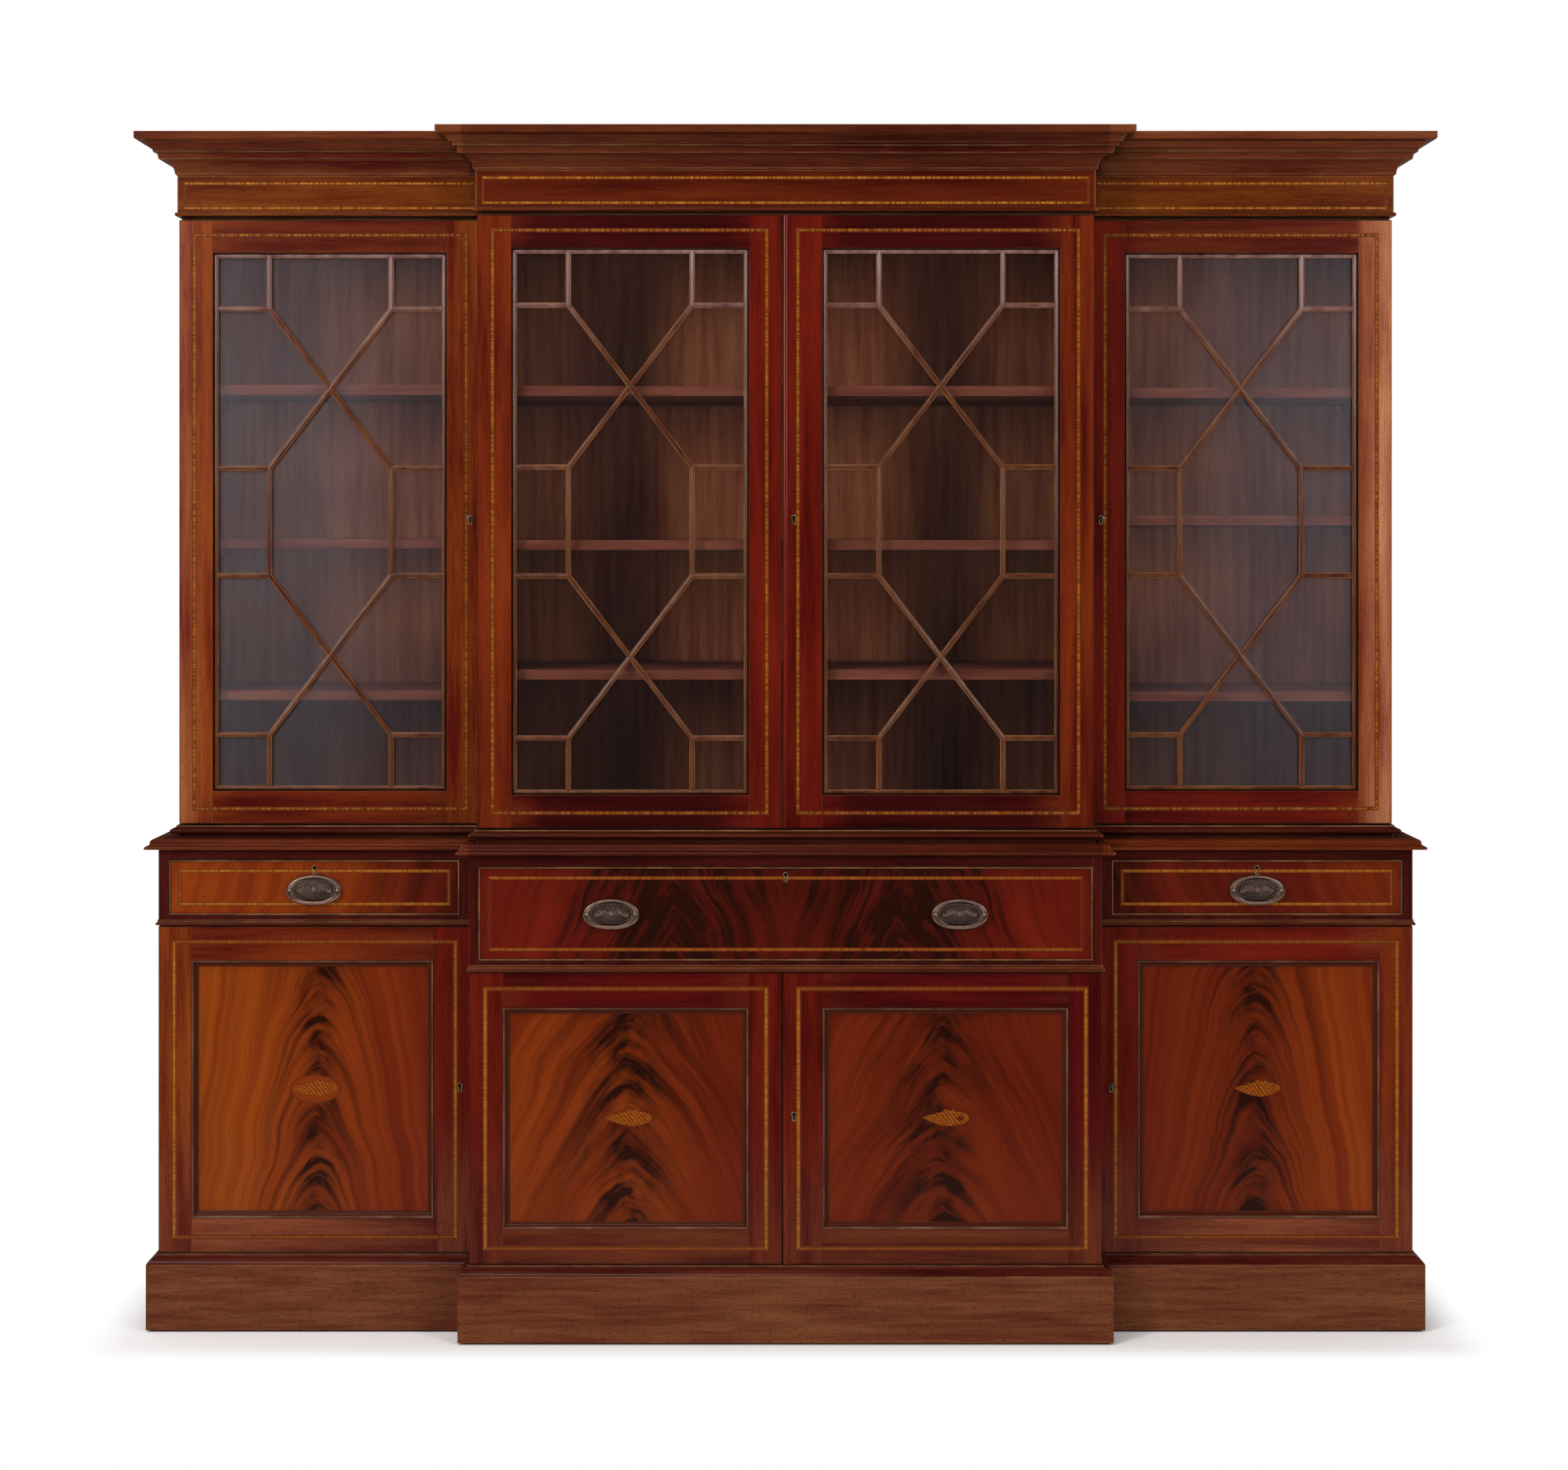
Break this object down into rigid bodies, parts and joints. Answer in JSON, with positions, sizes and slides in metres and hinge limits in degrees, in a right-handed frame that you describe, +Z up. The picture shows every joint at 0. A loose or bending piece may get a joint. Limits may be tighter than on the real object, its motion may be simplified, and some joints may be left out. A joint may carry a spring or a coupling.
{
  "type": "breakfront bookcase",
  "caption": "Glazed breakfront bookcase with astragal doors over a base of drawers, a secretaire drawer with a fall front, and panelled cupboards",
  "frame": {"origin": "on the floor, under the middle of the bookcase's bounding box", "axes": "+X to the viewer's right along the front, +Y from front to back, +Z up"},
  "size_m": [2.449, 0.4914, 2.261],
  "materials": {
    "polished_mahogany": "French-polished mahogany",
    "flame_mahogany": "French-polished flame-figured mahogany veneer",
    "bar_mahogany": "polished mahogany mouldings",
    "shelf_mahogany": "waxed mahogany",
    "case_mahogany": "thinly polished mahogany",
    "secondary_pine": "stained pine, unpolished",
    "drawer_oak": "plain oak linings",
    "old_glass": "old clear sheet glass",
    "old_brass": "toned, lacquered brass",
    "key_steel": "dulled steel"
  },
  "bodies": {
    "carcase": {"plinth_boards": "polished_mahogany", "plinth_cap_moulding": "polished_mahogany", "base_sides": "polished_mahogany", "base_cross_boards": "case_mahogany", "back_boards": "secondary_pine", "base_face_frame": "polished_mahogany", "mid_mouldings": "polished_mahogany", "base_ledge": "polished_mahogany", "waist_moulding": "polished_mahogany", "upper_sides": "polished_mahogany", "upper_cross_boards": "case_mahogany", "shelves": "shelf_mahogany", "frieze": "polished_mahogany", "cornice": "polished_mahogany", "case_hinge_leaves": "old_brass"},
    "upper_left_door": {"upper_left_door_frame": "polished_mahogany", "upper_left_door_fittings": "old_brass", "upper_left_glazing_bars": "bar_mahogany", "upper_left_pane": "old_glass"},
    "upper_left_key_turning": {"upper_left_key": "key_steel"},
    "upper_centre_left_door": {"upper_centre_left_door_frame": "polished_mahogany", "upper_centre_left_door_fittings": "old_brass", "upper_centre_left_glazing_bars": "bar_mahogany", "upper_centre_left_pane": "old_glass"},
    "upper_centre_right_door": {"upper_centre_right_door_frame": "polished_mahogany", "upper_centre_right_door_fittings": "old_brass", "upper_centre_right_glazing_bars": "bar_mahogany", "upper_centre_right_pane": "old_glass"},
    "upper_right_door": {"upper_right_door_frame": "polished_mahogany", "upper_right_door_fittings": "old_brass", "upper_right_glazing_bars": "bar_mahogany", "upper_right_pane": "old_glass"},
    "upper_right_key_turning": {"upper_right_key": "key_steel"},
    "lower_left_door": {"lower_left_door_frame": "polished_mahogany", "lower_left_door_fittings": "old_brass", "lower_left_door_panel": "flame_mahogany"},
    "lower_centre_left_door": {"lower_centre_left_door_frame": "polished_mahogany", "lower_centre_left_door_fittings": "old_brass", "lower_centre_left_door_panel": "flame_mahogany"},
    "lower_centre_right_door": {"lower_centre_right_door_frame": "polished_mahogany", "lower_centre_right_door_fittings": "old_brass", "lower_centre_right_door_panel": "flame_mahogany"},
    "lower_right_door": {"lower_right_door_frame": "polished_mahogany", "lower_right_door_fittings": "old_brass", "lower_right_door_panel": "flame_mahogany"},
    "lower_right_key_turning": {"lower_right_key": "key_steel"},
    "left_drawer": {"left_drawer_front": "flame_mahogany", "left_drawer_box": "drawer_oak", "left_drawer_fittings": "old_brass"},
    "left_drawer_bail_swing": {"left_drawer_bail": "old_brass"},
    "right_drawer": {"right_drawer_front": "flame_mahogany", "right_drawer_box": "drawer_oak", "right_drawer_fittings": "old_brass"},
    "right_drawer_bail_swing": {"right_drawer_bail": "old_brass"},
    "centre_drawer": {"centre_drawer_box": "drawer_oak", "centre_pivot_plates": "old_brass"},
    "centre_fall": {"centre_fall_front": "flame_mahogany", "centre_fall_fittings": "old_brass"},
    "centre_left_bail_swing": {"centre_left_bail": "old_brass"},
    "centre_right_bail_swing": {"centre_right_bail": "old_brass"}
  },
  "joints": [
    {"name": "upper_left_door_hinge", "type": "hinge", "parent": "carcase", "child": "upper_left_door", "pos_m": [-1.153, -0.062, 1.527], "axis": [0, 0, -1], "range_deg": [0, 170]},
    {"name": "upper_left_key_turn", "type": "hinge", "parent": "upper_left_door", "child": "upper_left_key_turning", "pos_m": [-0.6, -0.08425, 1.535], "axis": [0, -1, 0], "range_deg": [-90, 90]},
    {"name": "upper_centre_left_door_hinge", "type": "hinge", "parent": "carcase", "child": "upper_centre_left_door", "pos_m": [-0.577, -0.152, 1.527], "axis": [0, 0, -1], "range_deg": [0, 170]},
    {"name": "upper_centre_right_door_hinge", "type": "hinge", "parent": "carcase", "child": "upper_centre_right_door", "pos_m": [0.577, -0.152, 1.527], "axis": [0, 0, 1], "range_deg": [0, 170]},
    {"name": "upper_right_door_hinge", "type": "hinge", "parent": "carcase", "child": "upper_right_door", "pos_m": [1.153, -0.062, 1.527], "axis": [0, 0, 1], "range_deg": [0, 170]},
    {"name": "upper_right_key_turn", "type": "hinge", "parent": "upper_right_door", "child": "upper_right_key_turning", "pos_m": [0.6, -0.08425, 1.535], "axis": [0, -1, 0], "range_deg": [-90, 90]},
    {"name": "lower_left_door_hinge", "type": "hinge", "parent": "carcase", "child": "lower_left_door", "pos_m": [-1.185, -0.097, 0.454], "axis": [0, 0, -1], "range_deg": [0, 170]},
    {"name": "lower_centre_left_door_hinge", "type": "hinge", "parent": "carcase", "child": "lower_centre_left_door", "pos_m": [-0.588, -0.187, 0.41645], "axis": [0, 0, -1], "range_deg": [0, 170]},
    {"name": "lower_centre_right_door_hinge", "type": "hinge", "parent": "carcase", "child": "lower_centre_right_door", "pos_m": [0.588, -0.187, 0.41645], "axis": [0, 0, 1], "range_deg": [0, 170]},
    {"name": "lower_right_door_hinge", "type": "hinge", "parent": "carcase", "child": "lower_right_door", "pos_m": [1.185, -0.097, 0.454], "axis": [0, 0, 1], "range_deg": [0, 170]},
    {"name": "lower_right_key_turn", "type": "hinge", "parent": "lower_right_door", "child": "lower_right_key_turning", "pos_m": [0.6157, -0.11925, 0.462], "axis": [0, -1, 0], "range_deg": [-90, 90]},
    {"name": "left_drawer_slide", "type": "slide", "parent": "carcase", "child": "left_drawer", "axis": [0, -1, 0], "range_m": [0, 0.25]},
    {"name": "left_drawer_bail_pivot", "type": "hinge", "parent": "left_drawer", "child": "left_drawer_bail_swing", "pos_m": [-0.89065, -0.12875, 0.83175], "axis": [-1, 0, 0], "range_deg": [0, 90]},
    {"name": "right_drawer_slide", "type": "slide", "parent": "carcase", "child": "right_drawer", "axis": [0, -1, 0], "range_m": [0, 0.25]},
    {"name": "right_drawer_bail_pivot", "type": "hinge", "parent": "right_drawer", "child": "right_drawer_bail_swing", "pos_m": [0.89065, -0.12875, 0.83175], "axis": [-1, 0, 0], "range_deg": [0, 90]},
    {"name": "centre_drawer_slide", "type": "slide", "parent": "carcase", "child": "centre_drawer", "axis": [0, -1, 0], "range_m": [0, 0.3]},
    {"name": "centre_fall_pivot", "type": "hinge", "parent": "centre_drawer", "child": "centre_fall", "pos_m": [0, -0.20525, 0.73], "axis": [1, 0, 0], "range_deg": [0, 90]},
    {"name": "centre_left_bail_pivot", "type": "hinge", "parent": "centre_fall", "child": "centre_left_bail_swing", "pos_m": [-0.324, -0.21875, 0.7975], "axis": [-1, 0, 0], "range_deg": [0, 90]},
    {"name": "centre_right_bail_pivot", "type": "hinge", "parent": "centre_fall", "child": "centre_right_bail_swing", "pos_m": [0.324, -0.21875, 0.7975], "axis": [-1, 0, 0], "range_deg": [0, 90]}
  ]
}
